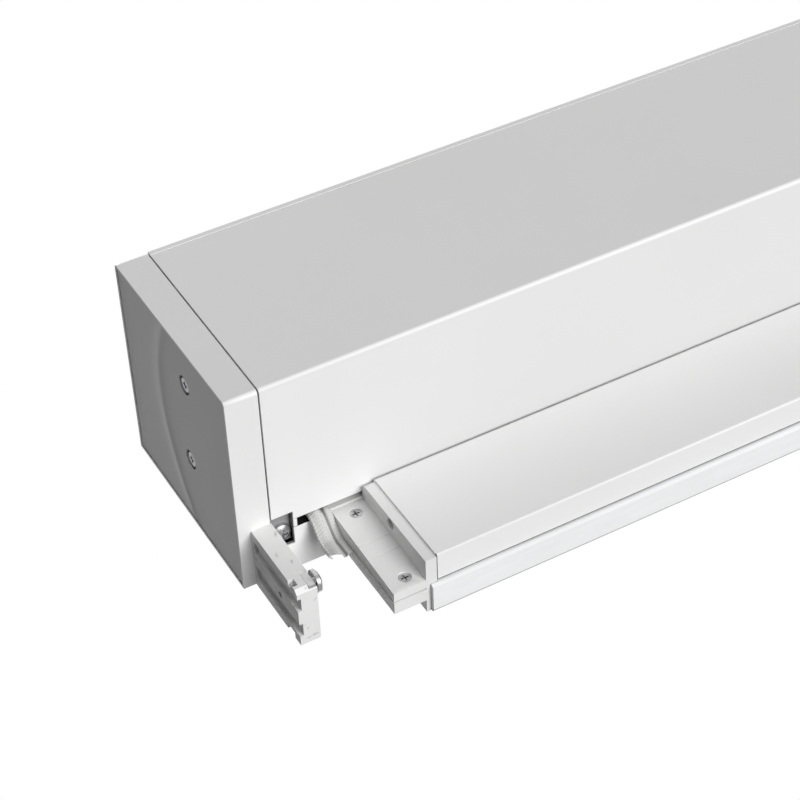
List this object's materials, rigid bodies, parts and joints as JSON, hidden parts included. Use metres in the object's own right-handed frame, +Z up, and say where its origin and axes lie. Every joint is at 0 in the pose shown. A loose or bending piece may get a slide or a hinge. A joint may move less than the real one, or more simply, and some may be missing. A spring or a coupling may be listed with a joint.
{
  "type": "zip track blind",
  "caption": "Motorised zip track blind: square cassette, zip-edged screen fabric on a roller, weighted hem bar and spigots for side rails.",
  "frame": {"origin": "centre of the cassette's back face, on the wall", "axes": "+X along the blind towards the motor end, +Y into the wall, +Z up; the hem bar drops along -Z"},
  "size_m": [0.7012, 0.1, 0.1538],
  "materials": {
    "white_coat": "semi-gloss white powder coat on aluminium",
    "white_plastic": "moulded white plastic",
    "white_rubber": "soft white bulb seal",
    "screen_cloth": "coated screen fabric",
    "zip_cloth": "zip band welded to the fabric edge",
    "zinc_steel": "zinc-plated steel",
    "plain_steel": "plain steel",
    "mill_aluminium": "mill-finish extrusion",
    "dark_plastic": "dark moulded plastic"
  },
  "bodies": {
    "cassette": {"back_profile": "white_coat", "end_cap_left": "white_coat", "end_cap_right": "white_coat", "end_plate_left": "white_coat", "end_plate_right": "white_coat", "plate_screws_left": "zinc_steel", "plate_screws_right": "zinc_steel", "cap_screws_left": "zinc_steel", "cap_screws_right": "zinc_steel", "rail_spigot_left": "white_plastic", "rail_spigot_right": "white_plastic", "spigot_nut_left": "zinc_steel", "spigot_nut_right": "zinc_steel", "spigot_screws_left": "zinc_steel", "spigot_screws_right": "zinc_steel", "idler_bracket": "plain_steel", "motor_bracket": "plain_steel", "motor_head": "dark_plastic", "motor_casing": "plain_steel", "limit_unit": "dark_plastic", "run_capacitor": "dark_plastic", "motor_stator": "plain_steel", "motor_brake": "plain_steel", "motor_gearbox": "plain_steel", "cable_gland": "dark_plastic"},
    "front_cover": {"front_cover": "white_coat", "cover_clips": "dark_plastic"},
    "roller": {"roller_tube": "mill_aluminium", "fabric_roll": "screen_cloth", "zip_roll_left": "zip_cloth", "zip_roll_right": "zip_cloth", "fabric_spline": "white_plastic", "idler_plug": "dark_plastic", "idler_bush": "white_plastic", "motor_crown": "dark_plastic", "motor_shaft": "plain_steel", "drive_wheel": "dark_plastic"},
    "idler_pin": {"idler_pin": "zinc_steel", "idler_spring": "zinc_steel"},
    "hem_bar": {"hem_bar": "white_coat", "hem_weight": "plain_steel", "hem_seal": "white_rubber", "hem_keder": "white_plastic", "hem_plug_left": "white_plastic", "hem_plug_right": "white_plastic", "plug_screws_left": "zinc_steel", "plug_screws_right": "zinc_steel", "clamp_front_left": "white_plastic", "clamp_front_right": "white_plastic", "clamp_back_left": "white_plastic", "clamp_back_right": "white_plastic", "clamp_screws_left": "zinc_steel", "clamp_screws_right": "zinc_steel", "fabric_drop": "screen_cloth", "zip_left": "zip_cloth", "zip_right": "zip_cloth"}
  },
  "joints": [
    {"name": "cover_off", "type": "slide", "parent": "cassette", "child": "front_cover", "axis": [0, -1, 0], "range_m": [0, 0.11]},
    {"name": "roller_turn", "type": "hinge", "parent": "cassette", "child": "roller", "pos_m": [0, -0.05922, 0], "axis": [-1, 0, 0], "range_deg": [0, 1745.7]},
    {"name": "hem_bar_slide", "type": "slide", "parent": "cassette", "child": "hem_bar", "axis": [0, 0, -1], "range_m": [0, 1], "deforming": ["fabric_drop", "zip_left", "zip_right"]},
    {"name": "idler_pin_push", "type": "slide", "parent": "cassette", "child": "idler_pin", "axis": [1, 0, 0], "range_m": [0, 0.008], "stiffness_N_per_m": 1200, "springref_m": -0.01, "deforming": ["idler_spring"]}
  ],
  "couplings": [
    {"joint": "hem_bar_slide", "follows": "roller_turn", "m_per_rad": 0.03282}
  ]
}
